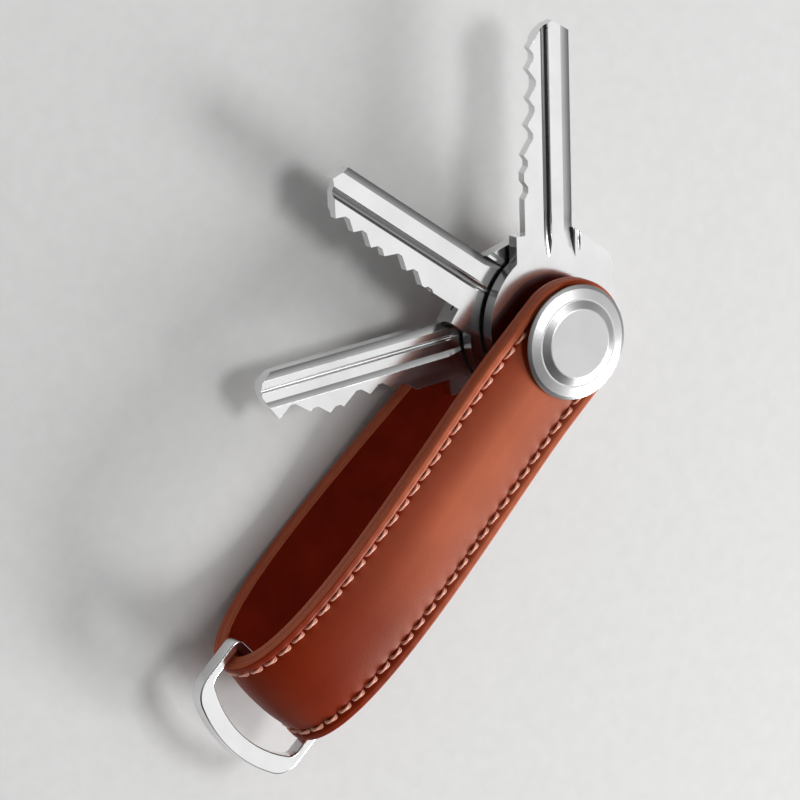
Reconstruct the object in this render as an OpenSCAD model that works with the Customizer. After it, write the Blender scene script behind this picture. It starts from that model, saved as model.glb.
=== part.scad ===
// Leather key case: a strap folded round a D-ring, its two ends clamped on a post
// that carries three keys. The origin is the middle of the front cap's flat top, the
// post runs down from it along Z, and the strap runs along -Y. The case lies on its
// lock screw and on the belly of its rear leg. Sizes are in millimetres.

/* [Strap] */
// Width of the strap
strap_w = 18.6; // [16:0.2:24]
// Distance from the post axis to the outside of the fold
loop_len = 70.6; // [62:0.2:84]
// Thickness of the outer leather layer
outer_t = 1.4; // [1:0.1:2]
// Thickness of the lining layer
lining_t = 1.3; // [0.9:0.1:1.6]
// Straight stretch of each leg under the cap, measured from the post axis
clamp_flat = 9; // [8:0.5:12]
// How far each leg runs on level before it bows out
belly_reach = 15.9; // [12:0.1:20]
// How far the curve of each leg reaches up at the fold, which sets how full the loop is
fold_reach = 16.6; // [14:0.1:19]
// Radial room round each eyelet in its leather hole
hole_room = 0.03; // [0.02:0.01:0.06]

/* [Stitching] */
// Distance of each seam from the strap's edge
seam_inset = 1.9; // [1.5:0.1:2.6]
// Length from one stitch to the next
stitch_pitch = 2.8; // [2.2:0.1:3.6]
// Length of one stitch
stitch_len = 2.1; // [1.4:0.1:2.2]
// Diameter of the thread
thread_d = 0.6; // [0.4:0.05:0.7]
// Slant of each stitch to the seam, in degrees
stitch_slant = 8; // [0:1:12]
// Room between the thread and its channel
thread_room = 0.02; // [0.01:0.01:0.05]
// Distance of the first stitch from the post axis
seam_start = 3.5; // [3:0.5:8]

/* [Post and lock] */
// Diameter of the front cap
cap_d = 17.4; // [15:0.2:18.4]
// Height of the cap's domed flange above its underside
flange_h = 0.8; // [0.6:0.05:1.4]
// Height of the raised disc above the flange
disc_h = 0.5; // [0.3:0.05:0.9]
// Diameter of the foot of the raised disc
disc_foot_d = 13; // [11:0.2:14]
// Diameter of the flat top of the raised disc
disc_top_d = 10.1; // [8:0.1:10.8]
// Height of the upright rim round the flange
rim_h = 0.25; // [0.15:0.05:0.4]
// Diameter of the post barrel that the keys turn on
barrel_d = 4.8; // [4:0.1:5.6]
// Diameter of the lock screw's shank
shank_d = 3.2; // [2.4:0.1:3.4]
// Length of the lock screw's shank
shank_len = 9.5; // [7:0.5:11]
// Diameter of the lock screw's head
head_d = 16; // [13:0.2:18]
// Width of the coin slot
slot_w = 1.5; // [1.2:0.1:2]
// Length of the coin slot
slot_len = 11; // [8:0.5:12]
// Depth of the coin slot
slot_depth = 0.9; // [0.6:0.1:1.1]
// Outside diameter of each eyelet's tube
eyelet_d = 5.9; // [5.7:0.1:7]
// Diameter of each eyelet's flange
eyelet_flange_d = 9.2; // [8:0.2:11]
// Thickness of each eyelet's flange
eyelet_flange_t = 0.4; // [0.3:0.05:0.6]

/* [Key pack] */
// Thickness of a key
key_t = 2; // [1.8:0.05:2.4]
// Height of the tension spring as fitted
spring_h = 0.6; // [0.5:0.05:0.9]
// Thickness of the spring's steel
spring_t = 0.3; // [0.2:0.05:0.4]
// Outside diameter of the tension spring
spring_d = 11; // [9:0.2:13]
// Thickness of the thrust washer under the spring
thrust_t = 1.5; // [1:0.1:2]
// Thickness of the washer between two keys
key_washer_t = 0.5; // [0.3:0.05:0.8]
// Thickness of the rear washer
rear_washer_t = 0.6; // [0.4:0.05:1]
// Outside diameter of the washers
washer_d = 13; // [10:0.2:15]
// Running gap between a key and the washer beside it
face_gap = 0.05; // [0.03:0.01:0.08]
// Radial running gap of a key on the barrel
key_play = 0.08; // [0.04:0.01:0.1]
// Radial room of the washers and eyelets on the barrel, and of the shank in its bore
fit_room = 0.05; // [0.03:0.01:0.1]

/* [Keys] */
// Width of a key's blade
blade_w = 8.8; // [8:0.1:9.4]
// Distance from the post axis to the key's stop shoulder
shoulder_at = 15.9; // [14.5:0.1:17]
// Distance from the post axis to the upper key's tip
key_reach = 47.5; // [45:0.1:50]
// Radius of the key's bow
bow_r = 11.4; // [10.5:0.1:12]
// How far the bow's centre lies from the hole, towards the blade
bow_shift = 2.4; // [1.5:0.1:3]
// Distance of the square stop's side from the middle of the bow
stop_reach = 6.5; // [6:0.1:7.5]
// Fall of the shoulder on the spine side, in degrees
shoulder_fall = 37; // [25:1:45]
// How far the shoulder's side lies inside the bow's widest point
shoulder_in = 0.5; // [0.3:0.1:1]
// Radius of the bend at the end of the shoulder
bend_r = 3.2; // [1.4:0.1:4]
// Width of the flat at the root of a cut
cut_flat = 0.85; // [0.7:0.05:1.2]
// Angle between the two flanks of a cut, in degrees
cut_angle = 106; // [90:1:115]
// Depth of a cut for each step of a key's code
code_depth = 0.35; // [0.3:0.01:0.4]
// Width of the round warding groove on the back of each key
back_groove_w = 1.5; // [1:0.05:1.8]
// Distance of the back groove from the spine
back_groove_at = 3.4; // [3:0.1:4]
// Width of the step on the back along the cuts
back_step_w = 2.6; // [2:0.1:3.2]
// Depth of the step on the back
back_step_depth = 0.6; // [0.3:0.05:0.7]
// Depth of the sloping step along the spine
step_depth = 0.6; // [0.3:0.05:0.8]
// Width of the nick that the step's cutter leaves in the shoulder
nick_w = 0.6; // [0.4:0.05:0.8]
// Radius of the cutter that mills the grooves
cutter_r = 26; // [18:1:34]
// How much deeper the cutter bites where it leaves the blade
cutter_bite = 0.04; // [0.02:0.01:0.08]
// Distance from the post axis to the end of each groove's run-out
groove_end = 12.2; // [11.5:0.1:13.5]
// Distance from the post axis to the end of the steps' run-outs
step_end = 11.4; // [11:0.1:13]

/* [Upper key] */
// Angle of the upper key from straight up towards the left, in degrees
upper_swing_angle = 47.2; // [0:0.2:180]
// How far its blade lies off the middle of its bow, towards its spine
upper_shift = -0.55; // [-1:0.05:1]
// Distance from the post axis to its first cut
upper_cuts_at = 22.7; // [22:0.1:24.5]
// Distance from one of its cuts to the next
upper_cut_pitch = 3.95; // [3.6:0.05:4]
// Width of the sloping step along its spine
upper_step_w = 1.85; // [0.8:0.05:2.4]
// Width of its warding groove
upper_groove_w = 1.45; // [0.7:0.05:1.8]
// Distance of its warding groove from its spine
upper_groove_at = 4.7; // [2:0.1:5]

/* [Middle key] */
// Angle of the middle key, in degrees
middle_swing_angle = 101.4; // [0:0.2:180]
// How far its blade lies off the middle of its bow
middle_shift = 0.25; // [-1:0.05:1]
// How much shorter than the upper key it is
middle_reach_less = 1.1; // [0:0.1:2]
// Distance from the post axis to its first cut
middle_cuts_at = 22.2; // [22:0.1:24.5]
// Distance from one of its cuts to the next
middle_cut_pitch = 3.75; // [3.6:0.05:4]
// Width of the sloping step along its spine
middle_step_w = 1.15; // [0.8:0.05:2.4]
// Width of its warding groove
middle_groove_w = 1.45; // [0.7:0.05:1.8]
// Distance of its warding groove from its spine
middle_groove_at = 4.3; // [2:0.1:5]

/* [Lower key] */
// Angle of the lower key, in degrees
lower_swing_angle = 142; // [0:0.2:180]
// How far its blade lies off the middle of its bow
lower_shift = 0.4; // [-1:0.05:1]
// How much longer than the upper key it is
lower_reach_more = 0.65; // [0:0.05:2]
// Distance from the post axis to its first cut
lower_cuts_at = 24.1; // [22:0.1:24.5]
// Distance from one of its cuts to the next
lower_cut_pitch = 3.8; // [3.6:0.05:4]
// Width of the sloping step along its spine
lower_step_w = 1.0; // [0.8:0.05:2.4]
// Width of its warding groove
lower_groove_w = 0.8; // [0.7:0.05:1.8]
// Distance of its warding groove from its spine
lower_groove_at = 2.4; // [2:0.1:5]
// Width of the shallow band beside its cuts
lower_band_w = 1.05; // [0.8:0.05:1.4]
// Distance of the band's deeper side from its spine
lower_band_at = 4.25; // [3.5:0.05:4.5]

/* [D-ring] */
// Room between each arm of the ring and the strap's edge
ring_room = 0.4; // [0.3:0.05:1]
// Width of the ring's arms
arm_w = 1.35; // [1.2:0.05:2]
// Width of the ring's bar inside the fold
bar_w = 1.5; // [1.2:0.1:1.8]
// Width of the ring's bow at its middle
ring_bow_w = 2.95; // [2.4:0.05:4]
// Thickness of the ring
ring_t = 2.4; // [2:0.1:2.6]
// Distance from the fold to the inside of the bow
ring_gap = 5.1; // [4.6:0.1:8]
// Radius of the bow's outer curve
ring_bow_r = 22; // [18:0.5:30]
// Radius of the ring's outer corners at the bow
ring_corner_r = 4.2; // [3.5:0.1:5]
// Radius of the ring's inner corners at the bow
ring_inner_corner_r = 1.6; // [1.2:0.1:2.4]
// Radius of the ring's corners at the bar
bar_corner_r = 1.4; // [0.8:0.1:1.8]
// Room between the turning bar and the leather inside the fold
bar_room = 0.06; // [0.05:0.01:0.2]

/* [Hidden] */
$fn = 96;

// Overrun of the cutting shapes past what they cut
over = 0.5;
// Steps along each leg's curve and each drawn arc
leg_steps = 36;
arc_steps = 12;
bow_steps = 56;

leather_t = outer_t + lining_t;
stack_h = spring_h + thrust_t + 3 * key_t + 2 * key_washer_t + rear_washer_t + 6 * face_gap;
half_in = stack_h / 2;
half_out = half_in + leather_t;
strap_r = strap_w / 2;
barrel_r = barrel_d / 2;

// Control points of one leg's outside, in the plane of Y and Z, Z counted from the mid-plane
leg_a = [-clamp_flat, half_out];
leg_b = [-clamp_flat - belly_reach, half_out];
leg_c = [-loop_len, fold_reach];
leg_d = [-loop_len, 0];

function leg_point(t) = pow(1 - t, 3) * leg_a + 3 * pow(1 - t, 2) * t * leg_b
    + 3 * (1 - t) * t * t * leg_c + t * t * t * leg_d;
function leg_slope(t) = 3 * pow(1 - t, 2) * (leg_b - leg_a)
    + 6 * (1 - t) * t * (leg_c - leg_b) + 3 * t * t * (leg_d - leg_c);
function inward(v) = [-v[1], v[0]] / norm(v);
function leg_inset(t, depth) = leg_point(t) + depth * inward(leg_slope(t));

// The belly of the loop, which touches the table
belly = max([for (i = [0 : leg_steps]) leg_point(i / leg_steps)[1]]);

// The mid-plane lies under the cap's top by half the clamped stack and the cap's own height
cap_base = half_out + eyelet_flange_t;
mid_z = -cap_base - flange_h - disc_h;
table_z = mid_z - belly;

// One side of the loop at a depth under the outside, from the strap's end to the fold
function leg_side(depth) = concat([[strap_r, half_out - depth]],
    [for (i = [0 : leg_steps]) leg_inset(i / leg_steps, depth)]);
function flip(pts) = [for (i = [len(pts) - 2 : -1 : 0]) [pts[i][0], -pts[i][1]]];
function loop_side(depth) = concat(leg_side(depth), flip(leg_side(depth)));
function backward(pts) = [for (i = [len(pts) - 1 : -1 : 0]) pts[i]];

// A layer of the folded strap between two depths, as wide as asked
module loop_layer(depth_a, depth_b, width) {
    rotate([90, 0, 90])
        linear_extrude(width, center = true)
            polygon(concat(loop_side(depth_a), backward(loop_side(depth_b))));
}

module strap_plan() {
    linear_extrude(2 * (belly + over), center = true) {
        circle(r = strap_r);
        translate([-strap_r, -loop_len - over]) square([strap_w, loop_len + over]);
    }
}

module eyelet_holes() {
    cylinder(h = 2 * (half_out + over), r = eyelet_d / 2 + hole_room, center = true);
}

// The channel that the thread of one seam lies in
channel_depth = thread_d + 2 * thread_room;
channel_w = thread_d + 2 * thread_room + stitch_len * sin(stitch_slant);
seam_x = strap_r - seam_inset;
module seam_channels() {
    for (side = [-1, 1])
        intersection() {
            translate([side * seam_x, 0, 0]) loop_layer(-over, channel_depth, channel_w);
            translate([-strap_w, -loop_len - over, -belly - over])
                cube([2 * strap_w, loop_len + over - seam_start, 2 * (belly + over)]);
        }
}

module strap_outer() {
    color("chocolate")
        translate([0, 0, mid_z])
            difference() {
                intersection() {
                    loop_layer(0, outer_t, strap_w);
                    strap_plan();
                }
                eyelet_holes();
                seam_channels();
            }
}

module strap_lining() {
    color("saddlebrown")
        translate([0, 0, mid_z])
            difference() {
                intersection() {
                    loop_layer(outer_t, leather_t, strap_w);
                    strap_plan();
                }
                eyelet_holes();
            }
}

// Running length along the outside of one leg, from the post axis to the fold
fine_steps = 4 * leg_steps;
function step_len(i) = norm(leg_point(i / fine_steps) - leg_point((i - 1) / fine_steps));
function run_to(i) = i == 0 ? clamp_flat : run_to(i - 1) + step_len(i);
leg_run = [for (i = [0 : fine_steps]) run_to(i)];
leg_total = leg_run[fine_steps];
run_table = [for (i = [0 : fine_steps]) [leg_run[i], i / fine_steps]];
function on_flat(s) = s < clamp_flat;
function stitch_t(s) = lookup(s, run_table);
thread_depth = thread_d / 2 + thread_room;
function stitch_at(s) = on_flat(s) ? [-s, half_out - thread_depth]
    : leg_inset(stitch_t(s), thread_depth);
function stitch_angle(s) = on_flat(s) ? 180
    : atan2(leg_slope(stitch_t(s))[1], leg_slope(stitch_t(s))[0]);

// One seam: stitches at equal steps along both legs and round the fold
seam_run = leg_total - seam_start - stitch_pitch / 2;
stitches = floor(seam_run / stitch_pitch);
module stitch(s) {
    at = stitch_at(s);
    translate([0, at[0], at[1]])
        rotate([stitch_angle(s), 0, 0])
            rotate([90, 0, stitch_slant])
                cylinder(h = stitch_len, d = thread_d, center = true, $fn = 16);
}

module seam(side) {
    color("sandybrown")
        translate([side * seam_x, 0, mid_z])
            for (leg = [0, 1], i = [0 : stitches])
                mirror([0, 0, leg])
                    if (i > 0 || leg == 0)
                        stitch(leg_total - i * stitch_pitch);
}

module stitching_left() { seam(-1); }
module stitching_right() { seam(1); }

// An eyelet lines the hole of one leg, with its flange outside
module eyelet() {
    color("dimgray")
        rotate_extrude()
            polygon([
                [barrel_r + fit_room, half_in],
                [eyelet_d / 2, half_in],
                [eyelet_d / 2, half_out],
                [eyelet_flange_d / 2, half_out],
                [eyelet_flange_d / 2, half_out + eyelet_flange_t],
                [barrel_r + fit_room, half_out + eyelet_flange_t]]);
}

module front_eyelet() {
    translate([0, 0, mid_z]) eyelet();
}

module rear_eyelet() {
    translate([0, 0, mid_z]) mirror([0, 0, 1]) eyelet();
}

// A quarter of an ellipse from the rim at the outside to the shoulder at the top
function dome(r_out, r_in, z_low, z_high) = [for (i = [0 : arc_steps])
    [r_in + (r_out - r_in) * cos(90 * i / arc_steps),
     z_low + (z_high - z_low) * sin(90 * i / arc_steps)]];

// The turned cap: a domed flange, a raised disc with a sloping side, and the hollow barrel
barrel_end = half_out + eyelet_flange_t / 2;
step_share = 0.12;
shoulder_share = 0.5;
cap_r = cap_d / 2;
foot_r = disc_foot_d / 2;
shoulder_r = foot_r + (cap_r - foot_r) * shoulder_share;
module front_cap() {
    color("lightgray")
        translate([0, 0, mid_z])
            difference() {
                union() {
                    rotate_extrude()
                        polygon(concat(
                            [[0, cap_base], [cap_r, cap_base]],
                            dome(cap_r, shoulder_r, cap_base + rim_h, cap_base + flange_h),
                            [[foot_r, cap_base + flange_h * (1 - step_share)],
                             [disc_top_d / 2, cap_base + flange_h + disc_h],
                             [0, cap_base + flange_h + disc_h]]));
                    translate([0, 0, -barrel_end])
                        cylinder(h = barrel_end + cap_base + rim_h, r = barrel_r);
                }
                translate([0, 0, -barrel_end - over])
                    cylinder(h = shank_len + over + eyelet_flange_t, r = shank_d / 2 + fit_room);
            }
}

// The lock screw turns into the barrel from behind, with a coin slot in its head
head_top = half_out + eyelet_flange_t + face_gap;
head_h = belly - head_top;
head_r = head_d / 2;
head_round_share = 0.14;
module lock_screw() {
    color("silver")
        translate([0, 0, table_z])
            difference() {
                union() {
                    rotate_extrude()
                        polygon(concat(
                            [[0, 0]],
                            backward(dome(head_r, head_r * (1 - head_round_share),
                                head_h - rim_h, 0)),
                            [[head_r, head_h], [0, head_h]]));
                    cylinder(h = head_h + shank_len, r = shank_d / 2);
                }
                translate([-slot_len / 2, -slot_w / 2, -over])
                    cube([slot_len, slot_w, slot_depth + over]);
            }
}

// Heights in the key pack, counted down from the front leg's inner face
spring_top = mid_z + half_in;
thrust_top = spring_top - spring_h;
upper_top = thrust_top - thrust_t - face_gap;
level = key_t + key_washer_t + 2 * face_gap;
upper_washer_top = upper_top - key_t - face_gap;
lower_washer_top = upper_washer_top - level;
rear_washer_top = lower_washer_top - level;

module tension_spring() {
    rim = spring_d / 2;
    hole = barrel_r + fit_room;
    color("gray")
        rotate_extrude()
            polygon([
                [hole, spring_top - spring_t],
                [hole, spring_top],
                [rim, thrust_top + spring_t],
                [rim, thrust_top]]);
}

module washer(top, thickness) {
    translate([0, 0, top - thickness])
        difference() {
            cylinder(h = thickness, d = washer_d);
            translate([0, 0, -over])
                cylinder(h = thickness + 2 * over, r = barrel_r + fit_room);
        }
}

module thrust_washer() { color("dimgray") washer(thrust_top, thrust_t); }
module key_washer_upper() { color("dimgray") washer(upper_washer_top, key_washer_t); }
module key_washer_lower() { color("dimgray") washer(lower_washer_top, key_washer_t); }
module rear_washer() { color("dimgray") washer(rear_washer_top, rear_washer_t); }

// Points along an arc, from one angle to another
function arc(centre, r, from, to, steps = arc_steps) = [for (i = [0 : steps])
    let (turn = from + (to - from) * i / steps) centre + r * [cos(turn), sin(turn)]];

// A key lies along +Y with its hole at the origin, its cuts on -X and its spine on +X.
// A tip's points are shares of the blade's width, across from its middle and back from its end.
upper_tip_shares = [[0.5, 0.22], [0.12, 0], [-0.12, 0.155], [-0.5, 0.585]];
middle_tip_shares = [[0.5, 0.205], [0.19, 0], [0.09, 0.1], [-0.5, 0.5375]];
lower_tip_shares = [[0.5, 0.244], [0.352, 0.023], [0.125, 0], [-0.5, 0.398]];
function tip_points(shift, reach, tip_shares) = [for (p = tip_shares)
    [shift + blade_w * p[0], reach - blade_w * p[1]]];

// The bow is a disc with a square stop on the cut side and a sloping shoulder on the spine side
function key_outline(shift, reach, tip_shares) =
    let (spine_x = shift + blade_w / 2,
        side_x = bow_r - shoulder_in,
        bend_x = side_x - bend_r,
        bend_y = shoulder_at - (bend_r + (bend_x - spine_x) * sin(shoulder_fall))
            / cos(shoulder_fall))
    concat(
        [[spine_x, shoulder_at]],
        tip_points(shift, reach, tip_shares),
        [[shift - blade_w / 2, shoulder_at], [-stop_reach, shoulder_at]],
        arc([0, bow_shift], bow_r, acos(-stop_reach / bow_r), 360 + acos(side_x / bow_r),
            bow_steps),
        arc([bend_x, bend_y], bend_r, 0, 90 - shoulder_fall));

// Cuts with a flat root and sloping flanks, each as many steps deep as its code says
module cuts(shift, codes, first_at, pitch) {
    for (i = [0 : len(codes) - 1]) {
        depth = codes[i] * code_depth;
        half_mouth = cut_flat / 2 + (depth + over) * tan(cut_angle / 2);
        translate([shift - blade_w / 2, first_at + i * pitch])
            polygon([
                [depth, -cut_flat / 2], [depth, cut_flat / 2],
                [-over, half_mouth], [-over, -half_mouth]]);
    }
}

// Sections of the milled forms: across the blade, and down from the key's face
groove_steps = 8;
round_share = 0.42;
function round_section(w) =
    let (depth = w * round_share,
        r = (w * w / 4 + depth * depth) / (2 * depth),
        half_turn = acos((r - depth) / r))
    concat(
        [for (i = [0 : groove_steps])
            let (turn = half_turn * (2 * i / groove_steps - 1))
            [r * sin(turn), r - depth - r * cos(turn)]],
        [[w / 2, over], [-w / 2, over]]);
function sloping_section(w, depth) = [[-w, 0], [0, -depth], [0, over], [-w, over]];
function flat_section(w, depth) = [[-over, -depth], [w - depth, -depth], [w, 0], [w, over],
    [-over, over]];

// A form milled along the blade, with the round run-out that its cutter leaves at the bow
module milled(at_x, section, depth, end_y) {
    start = end_y + sqrt(2 * cutter_r * depth);
    translate([at_x, start, 0]) {
        rotate([90, 0, 180])
            linear_extrude(key_reach)
                polygon([for (p = section) [-p[0], p[1]]]);
        translate([0, 0, cutter_r - depth - cutter_bite])
            rotate([0, 90, 0])
                rotate_extrude()
                    polygon([for (p = section) [cutter_r - depth - p[1], p[0]]]);
    }
}

module milled_groove(at_x, w) {
    milled(at_x, round_section(w), w * round_share, groove_end);
}

// The step's cutter passes a little beyond the spine and leaves a nick in the shoulder
step_past = step_depth / 4;
nick_out_share = 1.4;
module key_blank(shift, reach, tip_shares, codes, first_at, pitch, step_w, groove_w, groove_at) {
    spine = shift + blade_w / 2;
    difference() {
        translate([0, 0, -key_t])
            linear_extrude(key_t)
                difference() {
                    polygon(key_outline(shift, reach, tip_shares));
                    cuts(shift, codes, first_at, pitch);
                }
        translate([0, 0, -key_t - over])
            cylinder(h = key_t + 2 * over, r = barrel_r + key_play);
        milled_groove(spine - groove_at, groove_w);
        milled(spine + step_past, sloping_section(step_w + step_past, step_depth), step_depth,
            step_end);
        milled_groove(spine + nick_w * nick_out_share, nick_w);
        translate([0, 0, -key_t])
            mirror([0, 0, 1]) {
                milled_groove(spine - back_groove_at, back_groove_w);
                milled(spine - blade_w, flat_section(back_step_w, back_step_depth),
                    back_step_depth, step_end);
            }
    }
}

// Each key's code, from the bow to the tip
upper_code_steps = [2, 2, 5, 6, 7, 6];
middle_code_steps = [1, 4, 6, 4, 6, 7];
lower_code_steps = [4, 7, 7, 3, 5, 9];

module swung(swing, top) {
    color("gainsboro") translate([0, 0, top]) rotate([0, 0, swing]) children();
}

module key_upper() {
    swung(upper_swing_angle, upper_top)
        key_blank(upper_shift, key_reach, upper_tip_shares, upper_code_steps, upper_cuts_at,
            upper_cut_pitch, upper_step_w, upper_groove_w, upper_groove_at);
}

module key_middle() {
    swung(middle_swing_angle, upper_top - level)
        key_blank(middle_shift, key_reach - middle_reach_less, middle_tip_shares, middle_code_steps,
            middle_cuts_at, middle_cut_pitch, middle_step_w, middle_groove_w, middle_groove_at);
}

module key_lower() {
    swung(lower_swing_angle, upper_top - 2 * level)
        difference() {
            key_blank(lower_shift, key_reach + lower_reach_more, lower_tip_shares, lower_code_steps,
                lower_cuts_at, lower_cut_pitch, lower_step_w, lower_groove_w, lower_groove_at);
            milled(lower_shift + blade_w / 2 - lower_band_at,
                sloping_section(lower_band_w, lower_band_w * round_share),
                lower_band_w * round_share, groove_end);
        }
}

// The ring turns about its bar, which hangs in the fold
ring_in = strap_r + ring_room;
ring_out = ring_in + arm_w;
bar_swept_r = norm([bar_w, ring_t]) / 2;
bar_y = -loop_len + leather_t + bar_room + bar_swept_r;
bow_in_y = -loop_len - ring_gap;
bow_out_y = bow_in_y - ring_bow_w;

// A D from its bar's corners round to a bow of large radius, with the corners tangent to it
function d_outline(half_w, top_y, bow_y, bow_r, corner_r, top_r) =
    let (bow_centre = bow_y + bow_r,
        corner_x = half_w - corner_r,
        corner_y = bow_centre - sqrt(pow(bow_r - corner_r, 2) - pow(corner_x, 2)),
        lean = asin(corner_x / (bow_r - corner_r)))
    concat(
        arc([half_w - top_r, top_y - top_r], top_r, 90, 0),
        arc([corner_x, corner_y], corner_r, 0, -90 + lean),
        arc([0, bow_centre], bow_r, -90 + lean, -90 - lean),
        arc([-corner_x, corner_y], corner_r, -90 - lean, -180),
        arc([-half_w + top_r, top_y - top_r], top_r, 180, 90));

inner_bow_share = 0.82;
module d_ring() {
    color("silver")
        translate([0, 0, mid_z - ring_t / 2])
            linear_extrude(ring_t)
                difference() {
                    polygon(d_outline(ring_out, bar_y + bar_w / 2, bow_out_y, ring_bow_r,
                        ring_corner_r, bar_corner_r));
                    polygon(d_outline(ring_in, bar_y - bar_w / 2, bow_in_y,
                        ring_bow_r * inner_bow_share, ring_inner_corner_r, bar_corner_r / 4));
                }
}

strap_outer();
strap_lining();
stitching_left();
stitching_right();
front_eyelet();
rear_eyelet();
front_cap();
lock_screw();
tension_spring();
thrust_washer();
key_washer_upper();
key_washer_lower();
rear_washer();
key_upper();
key_middle();
key_lower();
d_ring();
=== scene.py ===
"""The looks of a leather key case: leather, thread, metal, light and camera."""
import math

import bmesh
import bpy
import numpy as np
from mathutils import Matrix, Vector


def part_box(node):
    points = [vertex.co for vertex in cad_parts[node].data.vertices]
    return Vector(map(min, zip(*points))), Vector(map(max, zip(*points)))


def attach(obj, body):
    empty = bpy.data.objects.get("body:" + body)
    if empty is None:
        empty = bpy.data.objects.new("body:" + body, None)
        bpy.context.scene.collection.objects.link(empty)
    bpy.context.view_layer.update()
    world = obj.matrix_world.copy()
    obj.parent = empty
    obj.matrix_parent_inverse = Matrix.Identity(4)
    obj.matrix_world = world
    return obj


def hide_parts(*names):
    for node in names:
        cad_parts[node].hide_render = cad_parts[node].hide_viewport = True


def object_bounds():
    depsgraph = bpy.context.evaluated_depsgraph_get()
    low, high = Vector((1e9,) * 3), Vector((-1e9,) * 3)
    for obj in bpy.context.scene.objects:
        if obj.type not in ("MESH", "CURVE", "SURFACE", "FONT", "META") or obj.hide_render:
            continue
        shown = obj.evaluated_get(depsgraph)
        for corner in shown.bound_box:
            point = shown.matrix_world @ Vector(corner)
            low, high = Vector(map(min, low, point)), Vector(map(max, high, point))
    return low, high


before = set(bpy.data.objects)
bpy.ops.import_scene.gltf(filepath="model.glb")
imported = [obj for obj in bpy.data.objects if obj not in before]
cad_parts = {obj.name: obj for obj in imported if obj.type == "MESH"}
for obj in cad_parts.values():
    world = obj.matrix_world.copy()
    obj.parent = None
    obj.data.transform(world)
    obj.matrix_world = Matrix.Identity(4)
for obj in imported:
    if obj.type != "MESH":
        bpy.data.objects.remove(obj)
cad_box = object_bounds()

MM = 0.001

# Sizes that the frame gives
outer_low, outer_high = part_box("strap_outer")
lining_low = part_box("strap_lining")[0]
ring_low, ring_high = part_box("d_ring")
eyelet_low, eyelet_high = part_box("front_eyelet")
cap_low, cap_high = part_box("front_cap")
table_z = cad_box[0][2]
mid_z = (ring_low.z + ring_high.z) / 2
strap_r = (outer_high.x - outer_low.x) / 2
loop_len = -outer_low.y
outer_t = lining_low.y - outer_low.y
half_in = eyelet_low.z - mid_z

# Sizes of the folded strap that the frame's boxes don't show
LINING_T = 1.3 * MM
CLAMP_FLAT = 9 * MM
BELLY_REACH = 15.9 * MM
FOLD_REACH = 16.6 * MM
EYELET_HOLE_R = 2.98 * MM
EYELET_HOLE_SIDES = 72
leather_t = outer_t + LINING_T
half_out = half_in + leather_t

# The outer layer's form across the strap
EDGE_ROUND = 0.42 * MM
EDGE_BULGE = 0.025 * MM
CROWN = 0.80 * MM
CROWN_POWER = 2.2
SEAM_INSET = 1.9 * MM
SEAM_DEPTH = 0.12 * MM
SEAM_HALF_W = 0.40 * MM
MARGIN_DROP = 0.32 * MM
MARGIN_RISE_W = 0.95 * MM
MARGIN_POWER = 1.4

# The lining's rounded inner corner, and how it lies under the outer layer
LINING_ROUND = 0.3 * MM
LINING_INSET = 0.015 * MM
LAYER_GAP = 0.004 * MM

# The outer face's relief along the strap. Each wave has its share of the height, the
# millimetres along the strap that turn it by a radian, the radians that a millimetre to the
# side adds, and its angle at the start.
RELIEF_EDGE_W = 0.6 * MM
PULL_DEPTH = 0.06 * MM
PULL_HALF_W = 1.1 * MM
PULL_END = 2 * MM
WAVE_HEIGHT = 0.014 * MM
WAVES = ((1.0, 5.1, 0.0, 0.7), (1.0, 3.3, 1 / 4, 2.1), (0.7, 1.9, -1 / 2.2, 4.0))
HOLE_R = 0.27 * MM
HOLE_DEPTH = 0.36 * MM
HOLE_END = 3.5 * MM

# The leathers of a layer's surfaces, as places in its list of materials
FACE, EDGE, INNER = 0, 1, 2

# Places of a section's points: insets and angles from the edge, and shares of the edge's height.
# A face's stretch has its first inset, its end and its step, in millimetres.
UNDER_INSETS = [strap_r, 6 * MM, 3.5 * MM, 2 * MM, 1 * MM, 0.4 * MM, 0.1 * MM]
OUTER_EDGE_SHARES = (0.06, 0.2, 0.4, 0.6, 0.8, 0.94)
OUTER_CORNER_ANGLES = (12, 26, 40, 54, 68, 80)
EDGE_PAINT_ANGLE = 60
FACE_STRETCHES = (
    (0.46, 1.3, 0.12), (1.3, 2.62, 0.085), (2.7, 3.6, 0.2), (3.8, strap_r / MM - 0.3, 0.55))
INNER_INSETS = [strap_r, 7 * MM, 5 * MM, 3.4 * MM, 2.2 * MM, 1.3 * MM, 0.7 * MM, 0.34 * MM]
LINING_CORNER_ANGLES = (20, 45, 70, 90)
LINING_EDGE_SHARES = (0.35, 0.6, 0.85)
HIDDEN_INSETS = (1 * MM, 4 * MM, strap_r)

# Steps along the strap's sides and round its ends, and samples of a leg's curve
OUTER_STEP, OUTER_ARC_STEPS = 0.28 * MM, 48
LINING_STEP, LINING_ARC_STEPS = 0.7 * MM, 32
CURVE_SAMPLES = 4000

# Stitches
STITCH_PITCH = 2.8 * MM
STITCH_SPAN = 2.55 * MM
STITCH_SLANT = math.radians(8)
STITCH_SINK = 0.40 * MM
STITCH_LIFT = 0.80 * MM
STITCH_ARCH = 0.45
STITCHES_A_LEG = 25
PLY_R = 0.20 * MM
PLY_OFFSET = 0.13 * MM
PLY_TURNS = 0.55
PLY_START = 0.2
PLY_END_SHARE = 0.35
PLY_TAPER = 4
PLY_RINGS, PLY_SIDES = 18, 8

# Distances under which points of a mesh are one
WELD = 0.0005 * MM
CAD_WELD = 0.001 * MM
STRAP_WELD = 0.002 * MM

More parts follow.
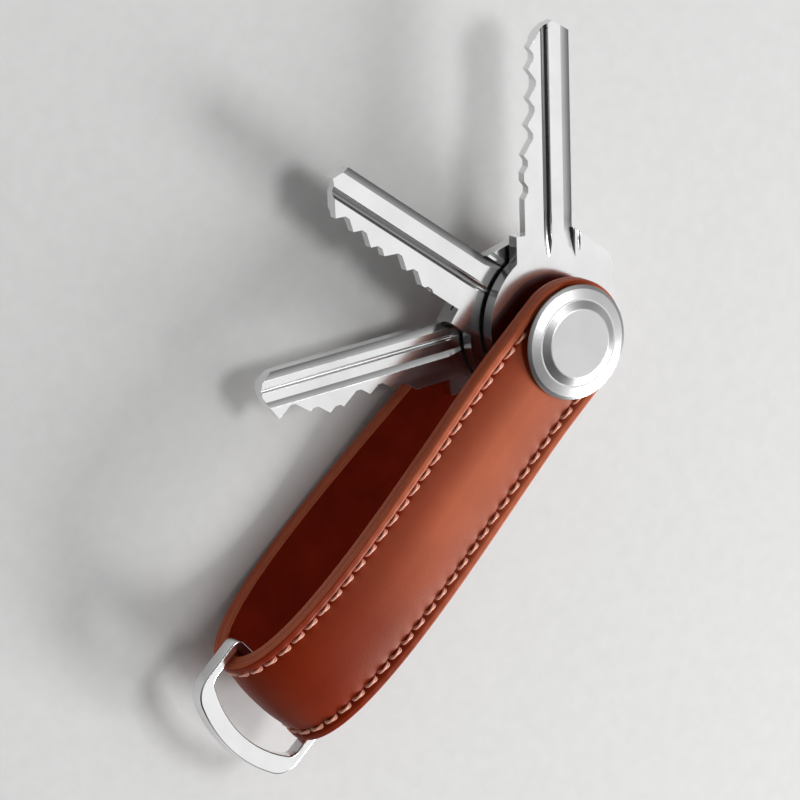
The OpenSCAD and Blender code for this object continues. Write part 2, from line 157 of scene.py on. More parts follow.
# The metal pieces' meshes: the angle up to which faces are one plane, those from which an edge
# is broken or stays sharp, how far large faces lead the shading, and the steps round the cap
FLAT_ANGLE = math.radians(0.5)
BREAK_ANGLE = math.radians(14)
SHARP_ANGLE = math.radians(35)
LARGE_FACE_WEIGHT = 100
CAP_STEPS = 160


# The strap's path: run counts along its outside from the fold, up the front leg
def leg_curve(samples):
    """Points, outward normals and lengths along the curved stretch of one leg."""
    t = np.linspace(0, 1, samples)[:, None]
    a = np.array([-CLAMP_FLAT, half_out])
    b = np.array([-CLAMP_FLAT - BELLY_REACH, half_out])
    c = np.array([-loop_len, FOLD_REACH])
    d = np.array([-loop_len, 0])
    points = (1 - t) ** 3 * a + 3 * (1 - t) ** 2 * t * b + 3 * (1 - t) * t ** 2 * c + t ** 3 * d
    slopes = 3 * (1 - t) ** 2 * (b - a) + 6 * (1 - t) * t * (c - b) + 3 * t ** 2 * (d - c)
    normals = np.stack([slopes[:, 1], -slopes[:, 0]], axis=1)
    normals /= np.linalg.norm(slopes, axis=1)[:, None]
    steps = np.linalg.norm(np.diff(points, axis=0), axis=1)
    return points, normals, np.concatenate([[0], np.cumsum(steps)])


CURVE_POINTS, CURVE_NORMALS, CURVE_LENGTHS = leg_curve(CURVE_SAMPLES)
LEG_LEN = CLAMP_FLAT + CURVE_LENGTHS[-1]


def wrap(x, run, height):
    """Places on the folded strap, from places on the flat one and a height over its outside."""
    along = LEG_LEN - np.abs(run) - CLAMP_FLAT
    side = np.where(run >= 0, 1.0, -1.0)
    y, z, ny, nz = (np.interp(along, CURVE_LENGTHS, column) for column in (
        CURVE_POINTS[:, 0], CURVE_POINTS[:, 1], CURVE_NORMALS[:, 0], CURVE_NORMALS[:, 1]))
    y = np.where(along < 0, -CLAMP_FLAT - along, y)
    return np.stack([x, y + ny * height, mid_z + side * (z + nz * height)], axis=-1)


# Node helpers
def new_material(name):
    """A node material and its node tree."""
    material = bpy.data.materials.new(name)
    material.use_nodes = True
    return material, material.node_tree


def feed(tree, socket, value):
    """Links an output to a socket, or writes a plain value on it."""
    if isinstance(value, bpy.types.NodeSocket):
        tree.links.new(value, socket)
    else:
        socket.default_value = value


def dress(tree, inputs):
    """Links or writes the inputs of a material's shader."""
    for name, value in inputs.items():
        feed(tree, tree.nodes["Principled BSDF"].inputs[name], value)


def add_node(tree, kind, inputs, **settings):
    """A node with its settings made and its inputs linked or written."""
    node = tree.nodes.new(kind)
    for name, value in settings.items():
        setattr(node, name, value)
    for name, value in inputs.items():
        feed(tree, node.inputs[name], value)
    return node


def place_coords(tree, stretch=(1, 1, 1), turn=0.0):
    """Object coordinates, turned about Z and then stretched."""
    coords = tree.nodes.new("ShaderNodeTexCoord").outputs["Object"]
    turned = add_node(tree, "ShaderNodeMapping", {"Vector": coords, "Rotation": (0, 0, turn)})
    stretched = add_node(
        tree, "ShaderNodeMapping", {"Vector": turned.outputs["Vector"], "Scale": stretch})
    return stretched.outputs["Vector"]


def parts_of(tree, vector):
    """The X, Y and Z outputs of a vector."""
    return add_node(tree, "ShaderNodeSeparateXYZ", {"Vector": vector}).outputs


def noise(tree, vector, scale, detail=4, roughness=0.6):
    """A noise texture's value."""
    inputs = {"Vector": vector, "Scale": scale, "Detail": detail, "Roughness": roughness}
    return add_node(tree, "ShaderNodeTexNoise", inputs).outputs["Fac"]


def ramp(tree, value, stops):
    """A colour ramp over a value, from a list of places and colours. A number is a grey."""
    node = add_node(tree, "ShaderNodeValToRGB", {"Fac": value})
    while len(node.color_ramp.elements) < len(stops):
        node.color_ramp.elements.new(0.5)
    for element, (place, colour) in zip(node.color_ramp.elements, stops):
        element.position = place
        element.color = (*colour, 1) if isinstance(colour, tuple) else (*(colour,) * 3, 1)
    return node.outputs["Color"]


def shades(base, *stops):
    """Stops of a ramp, from one colour and a list of places and factors."""
    return [(place, tuple(min(1.0, channel * factor) for channel in base))
            for place, factor in stops]


def spread(tree, value, low, high):
    """A value from 0 to 1 spread over a range."""
    inputs = {"Value": value, "To Min": low, "To Max": high}
    return add_node(tree, "ShaderNodeMapRange", inputs).outputs["Result"]


def between(tree, value, start, end):
    """A value's share of the way from a start to an end."""
    inputs = {"Value": value, "From Min": start, "From Max": end}
    return add_node(tree, "ShaderNodeMapRange", inputs).outputs["Result"]


def mix(tree, first, second, share=1.0, kind="MIX"):
    """Two colours put together by a share and a kind of mixing."""
    node = add_node(tree, "ShaderNodeMix", {}, data_type="RGBA", blend_type=kind)
    for name, value in {"Factor": share, "A": first, "B": second}.items():
        feed(tree, node.inputs[name], (*value, 1) if isinstance(value, tuple) else value)
    return node.outputs["Result"]


def bump(tree, height, depth, strength, below=None):
    """A bump of a depth in metres, over another bump where there is one."""
    inputs = {"Height": height, "Distance": depth, "Strength": strength}
    if below is not None:
        inputs["Normal"] = below
    return add_node(tree, "ShaderNodeBump", inputs).outputs["Normal"]


# Materials
def grain_leather():
    """Smooth leather with painted light: a pale painted sheen down the middle, and painted shade
    towards the sides and the fold, with pores and fine creases.
    """
    material, tree = new_material("cognac_leather")
    # The pale tan is a painted sheen, and the dark red-brown is the leather in painted shade
    thread_pull_and_sheen = (0.490, 0.112, 0.050)
    shade_brown = (0.232, 0.018, 0.0020)
    shade_from, shade_to = -31 * MM, -63 * MM
    vector = place_coords(tree)
    clouds = noise(tree, vector, scale=95, detail=3, roughness=0.5)
    tone = ramp(tree, clouds, [(0.3, 0.88), (0.5, 0.97), (0.72, 1.06)])
    place = parts_of(tree, vector)
    # Painted shade: darker towards the sides of the strap, more on the -X side than on the +X
    # side, and darker from mid-leg to the fold
    side_shade = ramp(tree, between(tree, place["X"], -strap_r, strap_r), [
        (0.06, 0.12), (0.10, 0.85), (0.13, 0.92), (0.27, 0.66), (0.47, 0.0),
        (0.60, 0.0), (0.77, 0.45), (0.87, 0.72), (0.90, 0.68), (0.94, 0.12)])
    fold_shade = ramp(tree, between(tree, place["Y"], shade_from, shade_to), [
        (0.0, 0.0), (0.30, 0.42), (0.65, 0.94), (1.0, 1.0)])
    painted_shade = mix(tree, side_shade, fold_shade, kind="SCREEN")
    pores = add_node(tree, "ShaderNodeTexVoronoi", {"Vector": vector, "Scale": 2600})
    pitted = bump(tree, pores.outputs["Distance"], depth=0.02 * MM, strength=0.35)
    creases = noise(tree, vector, scale=700, detail=5, roughness=0.62)
    # The colour mixes the painted sheen and the painted shade, under a random tone
    dress(tree, {
        "Base Color": mix(tree, mix(tree, thread_pull_and_sheen, shade_brown, painted_shade), tone, kind="MULTIPLY"),
        "Normal": bump(tree, creases, depth=0.05 * MM, strength=0.30, below=pitted),
        "Roughness": spread(tree, creases, low=0.40, high=0.54),
        "Specular IOR Level": 0.20,
        "Specular Tint": (1.0, 0.66, 0.42, 1)})
    return material


def edge_leather():
    """The painted and rubbed edge of the strap."""
    material, tree = new_material("painted_edge")
    base = (0.480, 0.095, 0.034)
    streaks = noise(tree, place_coords(tree), scale=420)
    dress(tree, {
        "Base Color": ramp(tree, streaks, shades(base, (0.3, 0.90), (0.55, 1), (0.8, 1.10))),
        "Roughness": spread(tree, streaks, low=0.34, high=0.52),
        "Specular IOR Level": 0.3})
    return material


def flesh_leather():
    """The lining's inner face: dark, matt, with a short nap."""
    material, tree = new_material("lining_leather")
    base = (0.110, 0.008, 0.003)
    vector = place_coords(tree)
    patches = noise(tree, vector, scale=120)
    nap = noise(tree, vector, scale=3200, detail=3, roughness=0.7)
    dress(tree, {
        "Base Color": ramp(tree, patches, shades(base, (0.3, 0.75), (0.55, 1), (0.78, 1.3))),
        "Normal": bump(tree, nap, depth=0.05 * MM, strength=0.5),
        "Roughness": 0.72,
        "Specular IOR Level": 0.0})
    return material


def waxed_thread():
    """Waxed thread with fine fibres along each ply."""
    material, tree = new_material("waxed_thread")
    base = (0.940, 0.440, 0.310)
    fibres = noise(tree, place_coords(tree), scale=5200, detail=3, roughness=0.7)
    dress(tree, {
        "Base Color": ramp(tree, fibres, shades(base, (0.3, 0.72), (0.55, 1), (0.8, 1.25))),
        "Normal": bump(tree, fibres, depth=0.03 * MM, strength=0.5),
        "Roughness": 0.46,
        "Sheen Weight": 0.2})
    return material


def metal(name, colour, rough, grain, stretch=(1, 1, 1), turn=0.0, depth=0.01, uneven=0.06):
    """A metal with fine grain or streaks and a bump in millimetres."""
    material, tree = new_material(name)
    marks = noise(tree, place_coords(tree, stretch, turn), grain, detail=5, roughness=0.65)
    clouds = noise(tree, place_coords(tree), scale=130, detail=3)
    dress(tree, {
        "Base Color": ramp(tree, clouds, shades(colour, (0.3, 0.92), (0.6, 1))),
        "Normal": bump(tree, marks, depth * MM, strength=0.5),
        "Roughness": spread(tree, marks, rough - uneven, rough + uneven),
        "Metallic": 1.0})
    return material


def key_nickel(name, turn, top):
    """Bright nickel with fine marks along the blade, and painted shade on the lower faces of the
    cuts that look upwards.
    """
    material = metal(name, (0.82, 0.82, 0.82), rough=0.17, grain=2600, stretch=(1, 0.02, 1),
                     turn=turn, depth=0.004, uneven=0.05)
    # Painted shade for the cuts: the lower faces that look upwards are darkened towards this grey
    groove_shade = (0.26, 0.26, 0.26)
    face_depth, floor_depth = 0.06 * MM, 0.50 * MM
    wall_slope, floor_slope = 0.25, 0.55
    tree = material.node_tree
    plated = tree.nodes["Principled BSDF"].inputs["Base Color"].links[0].from_socket
    height = parts_of(tree, place_coords(tree))["Z"]
    geometry = tree.nodes.new("ShaderNodeNewGeometry")
    slope = parts_of(tree, geometry.outputs["Normal"])["Z"]
    # How much painted shade: by the depth under the key's top and by how far the face looks up
    share = add_node(tree, "ShaderNodeMath", {
        0: between(tree, height, top - face_depth, top - floor_depth),
        1: between(tree, slope, wall_slope, floor_slope)}, operation="MULTIPLY")
    dress(tree, {"Base Color": mix(tree, plated, groove_shade, share.outputs["Value"])})
    return material


def washer_plastic():
    """Dark acetal of the thin washers."""
    material, tree = new_material("acetal")
    grain = noise(tree, place_coords(tree), scale=1800, detail=3)
    dress(tree, {
        "Base Color": (0.03, 0.03, 0.032, 1),
        "Normal": bump(tree, grain, depth=0.01 * MM, strength=0.4),
        "Roughness": spread(tree, grain, low=0.42, high=0.58)})
    return material


# Mesh helpers
def new_piece(name, mesh, materials, body, slot, *nodes):
    """A piece from a mesh, with its finish, its body and the nodes that it stands for."""
    piece = bpy.data.objects.new(name, mesh)
    bpy.context.scene.collection.objects.link(piece)
    for material in materials:
        mesh.materials.append(material)
    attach(piece, body)
    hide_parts(*nodes)
    return piece


def edited(mesh, *steps):
    """A mesh after steps that each work on its editable form."""
    bm = bmesh.new()
    bm.from_mesh(mesh)
    for step in steps:
        step(bm)
    bm.to_mesh(mesh)
    bm.free()
    return mesh


def joined(distance):
    """A step that makes one point of those closer than a distance."""
    return lambda bm: bmesh.ops.remove_doubles(bm, verts=bm.verts, dist=distance)


def faced(bm):
    """Turns all faces outward."""
    bmesh.ops.recalc_face_normals(bm, faces=bm.faces)


def thinned(bm):
    """Takes out faces without area."""
    bmesh.ops.dissolve_degenerate(bm, edges=bm.edges, dist=WELD)


def merged_flats(bm):
    """Makes one face of those that lie in one plane."""
    bmesh.ops.dissolve_limit(
        bm, angle_limit=FLAT_ANGLE, verts=bm.verts, edges=bm.edges, use_dissolve_boundaries=False)


def smoothed(mesh):
    """Shades a mesh smooth all over."""
    mesh.polygons.foreach_set("use_smooth", [True] * len(mesh.polygons))
    return mesh


def applied(piece):
    """Turns a piece's modifiers into plain mesh."""
    bpy.context.view_layer.update()
    graph = bpy.context.evaluated_depsgraph_get()
    done = bpy.data.meshes.new_from_object(piece.evaluated_get(graph), depsgraph=graph)
    piece.modifiers.clear()
    old = piece.data
    piece.data = done
    bpy.data.meshes.remove(old)


def hole_cutter():
    """Two cylinders where the eyelets pass through the legs."""
    bm = bmesh.new()
    for side in (-1, 1):
        ring = bmesh.ops.create_cone(
            bm, cap_ends=True, segments=EYELET_HOLE_SIDES, radius1=EYELET_HOLE_R,
            radius2=EYELET_HOLE_R, depth=2 * leather_t)
        centre = Vector((0, 0, mid_z + side * (half_in + leather_t / 2)))
        bmesh.ops.translate(bm, vec=centre, verts=ring["verts"])
    mesh = bpy.data.meshes.new("hole_cutter")
    bm.to_mesh(mesh)
    bm.free()
    cutter = bpy.data.objects.new("hole_cutter", mesh)
    bpy.context.scene.collection.objects.link(cutter)
    return cutter


# The strap
def perimeter(side_step, arc_steps):
    """Spine points and outward directions round the flat strap's outline."""
    sides = int(round(2 * LEG_LEN / side_step))
    runs = np.linspace(-LEG_LEN, LEG_LEN, sides + 1)
    arc = np.linspace(0, math.pi, arc_steps + 1)[1:-1]
    spine = [(run, 1.0, 0.0) for run in runs]
    spine += [(LEG_LEN, math.cos(a), math.sin(a)) for a in arc]
    spine += [(run, -1.0, 0.0) for run in runs[::-1]]
    spine += [(-LEG_LEN, -math.cos(a), -math.sin(a)) for a in arc]
    return np.array(spine)


def strap_mesh(name, section, side_step, arc_steps, relief=None):
    """A closed leather layer, wrapped along the path.

    Its section of insets, heights and kinds goes from the middle of the underside round the
    edge to the middle of the face."""
    spine = perimeter(side_step, arc_steps)
    inset = np.array([inset for inset, _, _ in section])
    height = np.array([height for _, height, _ in section])
    reach = strap_r - inset
    x = spine[:, 1:2] * reach[None, :]
    run = spine[:, 0:1] + spine[:, 2:3] * reach[None, :]
    heights = np.repeat(height[None, :], len(spine), axis=0)
    if relief is not None:
        heights = heights + relief(x, run, inset)
    points = wrap(x, run, heights).reshape(-1, 3)
    around, across = len(spine), len(section)
    faces = []
    kinds = []
    for i in range(around):
        low = i * across
        high = ((i + 1) % around) * across
        for j in range(across - 1):
            faces.append((low + j, high + j, high + j + 1, low + j + 1))
            kinds.append(section[j + 1][2])
    mesh = bpy.data.meshes.new(name)
    mesh.from_pydata(points.tolist(), [], faces)
    mesh.polygons.foreach_set("material_index", kinds)
    return smoothed(edited(mesh, joined(STRAP_WELD), faced))


def face_height(inset):
    """Height of the outer face over the strap's width: a crown, a seam and a padded margin."""
    share = np.clip((inset - SEAM_INSET) / (strap_r - SEAM_INSET), 0, 1)
    crown = -CROWN * (1 - share) ** CROWN_POWER
    seam = -SEAM_DEPTH * np.exp(-((inset - SEAM_INSET) / SEAM_HALF_W) ** 2)
    rise = np.clip((SEAM_INSET - inset) / MARGIN_RISE_W, 0, 1)
    margin = (CROWN - MARGIN_DROP) * np.sin(rise * math.pi / 2) ** MARGIN_POWER
    corner = np.clip(EDGE_ROUND - inset, 0, EDGE_ROUND)
    rounded = np.sqrt(EDGE_ROUND ** 2 - corner ** 2) - EDGE_ROUND
    return crown + seam + margin + rounded


def bulge(share):
    """The edge's inset at a share of its height, below zero because the edge stands out."""
    return -EDGE_BULGE * math.sin(share * math.pi)


def outer_section():
    """Section of the outer leather layer."""
    section = [(inset, -outer_t, INNER) for inset in UNDER_INSETS]
    edge_h = outer_t + float(face_height(np.array(0.0)))
    section += [(bulge(share), -outer_t + share * edge_h, EDGE) for share in OUTER_EDGE_SHARES]
    for angle in OUTER_CORNER_ANGLES:
        inset = EDGE_ROUND * (1 - math.cos(math.radians(angle)))
        kind = EDGE if angle < EDGE_PAINT_ANGLE else FACE
        section.append((inset, float(face_height(np.array(inset))), kind))
    stretches = [np.arange(*stretch) for stretch in FACE_STRETCHES]
    insets = np.concatenate([*stretches, [strap_r / MM]]) * MM
    section += [(float(inset), float(face_height(inset)), FACE) for inset in insets]
    return section


def lining_section():
    """Section of the lining, whose inner face looks at the keys."""
    section = [(inset, -leather_t, INNER) for inset in INNER_INSETS]
    for angle in LINING_CORNER_ANGLES:
        turn = math.radians(angle)
        inset = LINING_ROUND * (1 - math.sin(turn))
        section.append((inset, -leather_t + LINING_ROUND * (1 - math.cos(turn)), EDGE))
    section += [
        (bulge(share), -leather_t + share * LINING_T, EDGE) for share in LINING_EDGE_SHARES]
    top = -outer_t - LAYER_GAP
    section.append((LINING_INSET, top, EDGE))
    section += [(inset, top, INNER) for inset in HIDDEN_INSETS]
    return section


OUTER_SECTION = outer_section()
FACE_START = next(i for i, row in enumerate(OUTER_SECTION) if row[2] == FACE)
HOLE_RUNS = (np.arange(-STITCHES_A_LEG, STITCHES_A_LEG + 2) - 0.5) * STITCH_PITCH


def leather_relief(x, run, inset):
    """What handling, needle holes and drawn thread add to the leather's height."""
    level = np.repeat(inset[None, :], x.shape[0], axis=0)
    top = np.clip(level / RELIEF_EDGE_W, 0, 1)
    phase = run / STITCH_PITCH * 2 * math.pi
    near_seam = np.exp(-((level - SEAM_INSET) / PULL_HALF_W) ** 2)
    thread_pull_and_sheen = PULL_DEPTH * near_seam * np.cos(phase) * (np.abs(run) < LEG_LEN - PULL_END)
    waves = sum(share * np.sin(run / (length * MM) + x * slant / MM + start)
                for share, length, slant, start in WAVES)
    highest = sum(share for share, _, _, _ in WAVES)
    uneven = WAVE_HEIGHT * (waves - highest * level / strap_r)
    holes = np.zeros_like(run)
    for hole in HOLE_RUNS:
        if abs(hole) > LEG_LEN - HOLE_END:
            continue
        away = np.hypot(run - hole, level - SEAM_INSET)
        holes -= HOLE_DEPTH * np.exp(-(away / HOLE_R) ** 2)
    is_face = (np.arange(len(inset)) >= FACE_START)[None, :]
    return np.where(is_face, top * (thread_pull_and_sheen + uneven) + holes, 0)


def make_strap(materials):
    """Both leather layers, with holes for the eyelets."""
    cutter = hole_cutter()
    outer = strap_mesh(
        "outer_leather", OUTER_SECTION, OUTER_STEP, OUTER_ARC_STEPS, leather_relief)
    lining = strap_mesh("lining_leather", lining_section(), LINING_STEP, LINING_ARC_STEPS)
    for name, mesh, node in (
            ("outer_leather", outer, "strap_outer"), ("lining_leather", lining, "strap_lining")):
        layer = new_piece(name, mesh, materials, "case", name, node)
        cut = layer.modifiers.new("holes", "BOOLEAN")
        cut.operation = "DIFFERENCE"
        cut.solver = "EXACT"
        cut.object = cutter
        applied(layer)
        edited(layer.data, joined(WELD), thinned)
    bpy.data.objects.remove(cutter)


# Stitches
def ply_points(side, centre_run, ply):
    """Rings of points round one ply of one stitch."""
    share = np.linspace(0, 1, PLY_RINGS)
    across = (share - 0.5) * STITCH_SPAN
    arch = np.sin(share * math.pi)
    seam_floor = float(face_height(np.array(SEAM_INSET)))
    height = seam_floor - STITCH_SINK + STITCH_LIFT * arch ** STITCH_ARCH
    twist = share * PLY_TURNS * 2 * math.pi + (ply + PLY_START) * math.pi
    sideways = across * math.sin(STITCH_SLANT)
    middle_x = side * (strap_r - SEAM_INSET) + sideways + PLY_OFFSET * np.cos(twist)
    middle_height = height + PLY_OFFSET * np.sin(twist)
    angle = np.linspace(0, 2 * math.pi, PLY_SIDES, endpoint=False)
    radius = np.clip(arch * PLY_TAPER, PLY_END_SHARE, 1) * PLY_R
    x = middle_x[:, None] + radius[:, None] * np.cos(angle)[None, :]
    heights = middle_height[:, None] + radius[:, None] * np.sin(angle)[None, :]
    run = centre_run + across * math.cos(STITCH_SLANT)
    return wrap(x, np.repeat(run[:, None], PLY_SIDES, axis=1), heights).reshape(-1, 3)


def make_stitching(side, name, node, material):
    """One seam: two-ply stitches that dip into their needle holes."""
    points = []
    faces = []
    for number in range(-STITCHES_A_LEG, STITCHES_A_LEG + 1):
        for ply in (0, 1):
            start = len(points)
            points += ply_points(side, number * STITCH_PITCH, ply).tolist()
            for i in range(PLY_RINGS - 1):
                here = start + i * PLY_SIDES
                above = here + PLY_SIDES
                for j in range(PLY_SIDES):
                    after = (j + 1) % PLY_SIDES
                    faces.append((here + j, here + after, above + after, above + j))
            faces.append(tuple(range(start + PLY_SIDES - 1, start - 1, -1)))
            last = start + (PLY_RINGS - 1) * PLY_SIDES
            faces.append(tuple(range(last, last + PLY_SIDES)))
    mesh = bpy.data.meshes.new(name)
    mesh.from_pydata(points, [], faces)
    new_piece(name, smoothed(edited(mesh, faced)), [material], "case", "thread", node)


# Metal pieces
def softened(name, node, body, slot, material, width, segments=3):
    """A CAD solid with its edges broken, as tumbling leaves them."""
    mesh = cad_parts[node].data.copy()
    mesh.name = name
    mesh.materials.clear()
    edited(mesh, joined(CAD_WELD), merged_flats)
    piece = new_piece(name, mesh, [material], body, slot, node)
    bevel = piece.modifiers.new("edges", "BEVEL")
    bevel.width = width
    bevel.segments = segments
    bevel.limit_method = "ANGLE"
    bevel.angle_limit = BREAK_ANGLE
    bevel.use_clamp_overlap = True
    applied(piece)
    smoothed(edited(piece.data, joined(WELD), thinned))
    weigh = piece.modifiers.new("normals", "WEIGHTED_NORMAL")
    weigh.weight = LARGE_FACE_WEIGHT
    applied(piece)


def lathe(name, profile, steps):
    """A turned mesh from a profile of radii and heights that starts and ends on the axis."""
    points = []
    faces = []
    across = len(profile)
    for i in range(steps):
        turn = 2 * math.pi * i / steps
        points += [(r * math.cos(turn), r * math.sin(turn), z) for r, z in profile]
        low = i * across
        high = ((i + 1) % steps) * across
        faces += [(low + j, high + j, high + j + 1, low + j + 1) for j in range(across - 1)]
    mesh = bpy.data.meshes.new(name)
    mesh.from_pydata(points, [], faces)
    smoothed(edited(mesh, joined(WELD), faced))
    mesh.set_sharp_from_angle(angle=SHARP_ANGLE)
    return mesh


def rounded_profile(corners, steps=8):
    """A profile with an arc at each corner, from places and corner radii.

    A corner that is nearly straight gets no arc, and an arc takes less than half of a side."""
    straight = math.radians(179)
    side_share = 0.48
    profile = [corners[0][:2]]
    for before, corner, after in zip(corners, corners[1:], corners[2:]):
        here = np.array(corner[:2])
        back = np.array(before[:2]) - here
        ahead = np.array(after[:2]) - here
        back_len, ahead_len = np.linalg.norm(back), np.linalg.norm(ahead)
        back, ahead = back / back_len, ahead / ahead_len
        opening = math.acos(float(np.clip(np.dot(back, ahead), -1, 1)))
        if corner[2] == 0 or opening > straight:
            profile.append(tuple(here))
            continue
        full = corner[2] / math.tan(opening / 2)
        reach = min(full, side_share * back_len, side_share * ahead_len)
        start, end = here + back * reach, here + ahead * reach
        for i in range(steps + 1):
            share = i / steps
            point = (1 - share) ** 2 * start + 2 * share * (1 - share) * here + share ** 2 * end
            profile.append(tuple(point))
    profile.append(corners[-1][:2])
    return profile


def make_cap(material):
    """The turned front cap with its barrel: a domed flange and a raised disc."""
    cap_r = cap_high.x
    base = eyelet_high.z
    barrel_r = 2.4 * MM
    bore_r = 1.65 * MM
    bore_end = -3 * MM
    disc_r = 5.06 * MM
    foot_r = 6.5 * MM
    flange_top = -0.5 * MM
    # Each corner's distance from the axis, its height and the radius of its arc
    corners = [
        (0, bore_end, 0),
        (bore_r, bore_end, 0),
        (bore_r, cap_low.z, 0.05 * MM),
        (barrel_r, cap_low.z, 0.1 * MM),
        (barrel_r, base, 0.1 * MM),
        (cap_r - 0.25 * MM, base, 0.08 * MM),
        (cap_r, base + 0.12 * MM, 0.1 * MM),
        (cap_r, base + 0.26 * MM, 0.25 * MM),
        (cap_r - 0.55 * MM, base + 0.50 * MM, 0.55 * MM),
        (foot_r + 0.20 * MM, flange_top, 0.35 * MM),
        (foot_r - 0.05 * MM, flange_top, 0.25 * MM),
        (disc_r + 0.1 * MM, 0, 1.0 * MM),
        (0, 0, 0)]
    mesh = lathe("cap", rounded_profile(corners), CAP_STEPS)
    new_piece("cap", mesh, [material], "case", "satin_steel", "front_cap")


# Camera, lights and floor
CAMERA_AT = Vector((-443.51, -186.48, 625.21)) * MM
CAMERA_AIM = Vector((-13.047, -23.162, -9.4)) * MM
CAMERA_ROLL = math.radians(110.362)
FOCAL_SHARE = 6.68073
SENSOR_W = 36
CLIP_START, CLIP_END = 0.01, 10

# Each lamp has its direction from what it lights, its width and its power
LAMP_AIM = Vector((0, -0.02, -0.01))
LAMPS = {"key": ((0.92, 0.16, 0.36), 0.36, 10.0), "high": ((0.10, 0.30, 0.95), 0.30, 2.7)}

# Each glow of the world has its direction and its brightness over the cosine from it
GLOWS = {
    "window": ((0.55, 0.30, 0.78), [(0.0, 0.03), (0.80, 0.04), (0.92, 0.30), (0.97, 0.97)]),
    "overhead": ((0.0, 0.0, 1.0), [(0.0, 0.0), (0.88, 0.0), (0.97, 0.26)]),
    "strip": ((0.60, -0.75, 0.28), [(0.0, 0.0), (0.88, 0.0), (0.96, 0.80)]),
    "rim": ((0.62, 0.52, 0.59), [(0.0, 0.0), (0.945, 0.0), (0.98, 0.95)]),
    "top": ((-0.21, 0.73, 0.65), [(0.0, 0.0), (0.90, 0.0), (0.95, 0.50)]),
    "back": ((0.60, 0.70, 0.36), [(0.0, 0.0), (0.84, 0.0), (0.95, 0.36)]),
    "left": ((-0.80, -0.10, 0.45), [(0.0, 0.0), (0.70, 0.0), (0.94, 0.28)])}

FLOOR_HALF = 1.2
FLOOR_DROP = 0.02 * MM


def make_camera():
    """A camera at the photograph's viewpoint."""
    data = bpy.data.cameras.new("camera")
    camera = bpy.data.objects.new("camera", data)
    bpy.context.scene.collection.objects.link(camera)
    forward = (CAMERA_AIM - CAMERA_AT).normalized()
    level = forward.cross(Vector((0, 0, 1))).normalized()
    raised = level.cross(forward)
    right = level * math.cos(CAMERA_ROLL) + raised * math.sin(CAMERA_ROLL)
    up = raised * math.cos(CAMERA_ROLL) - level * math.sin(CAMERA_ROLL)
    turn = Matrix((right, up, -forward)).transposed().to_4x4()
    camera.matrix_world = Matrix.Translation(CAMERA_AT) @ turn
    data.sensor_width = SENSOR_W
    data.lens = SENSOR_W * FOCAL_SHARE
    data.clip_start = CLIP_START
    data.clip_end = CLIP_END
    bpy.context.scene.camera = camera


def make_lights():
    """A compact soft box low on the right and a weaker one overhead, a metre away."""
    for name, (side, width, power) in LAMPS.items():
        data = bpy.data.lights.new(name, "AREA")
        data.shape = "RECTANGLE"
        data.size, data.size_y = width, width
        data.energy = power
        place = LAMP_AIM + Vector(side).normalized()
        lamp = bpy.data.objects.new(name, data)
        lamp.location = place
        lamp.rotation_euler = (LAMP_AIM - place).to_track_quat("-Z", "Y").to_euler()
        bpy.context.scene.collection.objects.link(lamp)


def make_world():
    """A dim studio with a window of light and smaller glows round it."""
    world = bpy.data.worlds.new("studio")
    bpy.context.scene.world = world
    world.use_nodes = True
    tree = world.node_tree
    coords = tree.nodes.new("ShaderNodeTexCoord").outputs["Generated"]
    light = None
    for direction, stops in GLOWS.values():
        side = Vector(direction).normalized()
        cosine = add_node(
            tree, "ShaderNodeVectorMath", {0: coords, 1: side}, operation="DOT_PRODUCT")
        glow = ramp(tree, cosine.outputs["Value"], stops)
        light = glow if light is None else mix(tree, light, glow, kind="LIGHTEN")
    background = tree.nodes["Background"]
    feed(tree, background.inputs["Color"], light)
    feed(tree, background.inputs["Strength"], 1.0)


def make_floor():
    """A plain pale floor under the case."""
    low = table_z - FLOOR_DROP
    mesh = bpy.data.meshes.new("floor")
    sides = ((-1, -1), (1, -1), (1, 1), (-1, 1))
    corners = [(FLOOR_HALF * x, FLOOR_HALF * y, low) for x, y in sides]
    mesh.from_pydata(corners, [], [(0, 1, 2, 3)])
    floor = bpy.data.objects.new("floor", mesh)
    bpy.context.scene.collection.objects.link(floor)
    material, tree = new_material("floor_paper")
    grain = noise(tree, place_coords(tree), scale=400, detail=2)
    tint = ramp(tree, grain, [(0.3, (0.76, 0.76, 0.755)), (0.7, (0.79, 0.79, 0.785))])
    dress(tree, {"Base Color": tint, "Roughness": 0.8})
    mesh.materials.append(material)


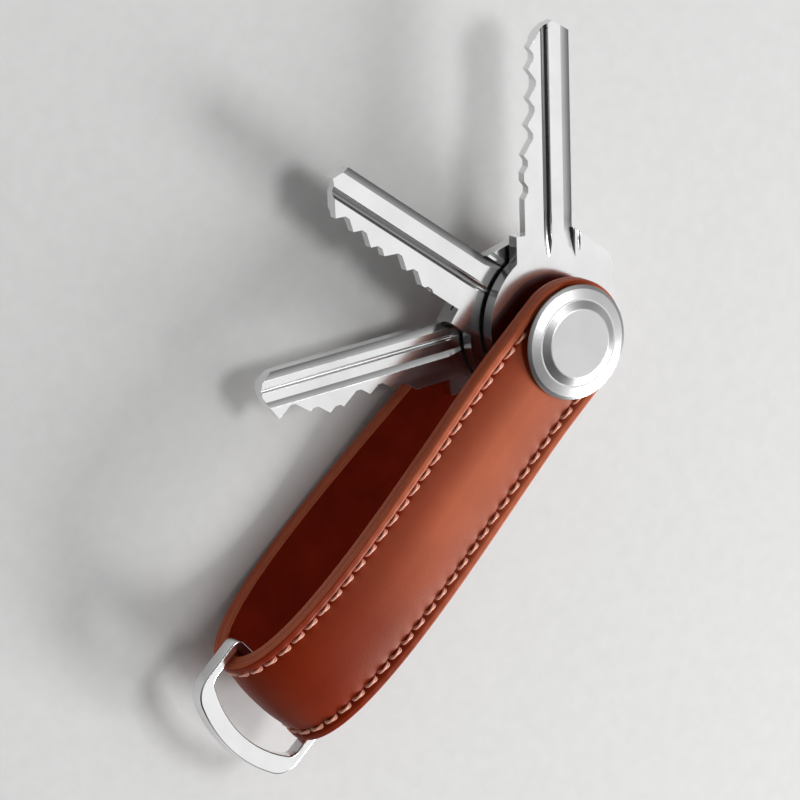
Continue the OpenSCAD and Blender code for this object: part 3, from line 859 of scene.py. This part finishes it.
LEATHERS = [grain_leather(), edge_leather(), flesh_leather()]
THREAD = waxed_thread()
SATIN = metal("satin_steel", (0.50, 0.50, 0.50), rough=0.30, grain=5200, depth=0.003)
RING_STEEL = metal(
    "ring_steel", (0.84, 0.84, 0.845), rough=0.17, grain=4200, depth=0.003, uneven=0.04)
SPRING = metal("spring_steel", (0.32, 0.32, 0.34), rough=0.30, grain=3000)
WASHER = metal("washer_steel", (0.50, 0.50, 0.51), rough=0.34, grain=3000)
EYELET = metal("eyelet_brass", (0.50, 0.38, 0.22), rough=0.36, grain=3000)
ACETAL = washer_plastic()

# How far each key is turned about the post, from +Y towards -X, in degrees
KEY_SWINGS = {"upper": 47.2, "middle": 101.4, "lower": 142}

# Each small piece of the pack: its name, node, slot and finish, and its broken edges' width
PACK = (
    ("front_grommet", "front_eyelet", "eyelet_metal", EYELET, 0.05 * MM),
    ("rear_grommet", "rear_eyelet", "eyelet_metal", EYELET, 0.05 * MM),
    ("spring_washer", "tension_spring", "spring_steel", SPRING, 0.03 * MM),
    ("thrust_ring", "thrust_washer", "washer_steel", WASHER, 0.12 * MM),
    ("rear_ring", "rear_washer", "washer_steel", WASHER, 0.06 * MM),
    ("spacer_upper", "key_washer_upper", "washer_plastic", ACETAL, 0.05 * MM),
    ("spacer_lower", "key_washer_lower", "washer_plastic", ACETAL, 0.05 * MM))

make_camera()
make_strap(LEATHERS)
make_stitching(-1, "thread_left", "stitching_left", THREAD)
make_stitching(1, "thread_right", "stitching_right", THREAD)
make_cap(SATIN)
softened("ring", "d_ring", "d_ring", "ring_steel", RING_STEEL, width=0.28 * MM, segments=4)
softened("screw", "lock_screw", "lock_screw", "satin_steel", SATIN, width=0.12 * MM)
for level, swing in KEY_SWINGS.items():
    key_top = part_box(f"key_{level}")[1].z
    nickel = key_nickel(f"nickel_{level}", -math.radians(swing), key_top)
    softened(f"{level}_key", f"key_{level}", f"key_{level}", "key_nickel", nickel,
             width=0.07 * MM, segments=2)
for name, node, slot, finish, width in PACK:
    softened(name, node, "case", slot, finish, width)
make_lights()
make_world()
make_floor()
bpy.context.scene.view_settings.view_transform = "Standard"
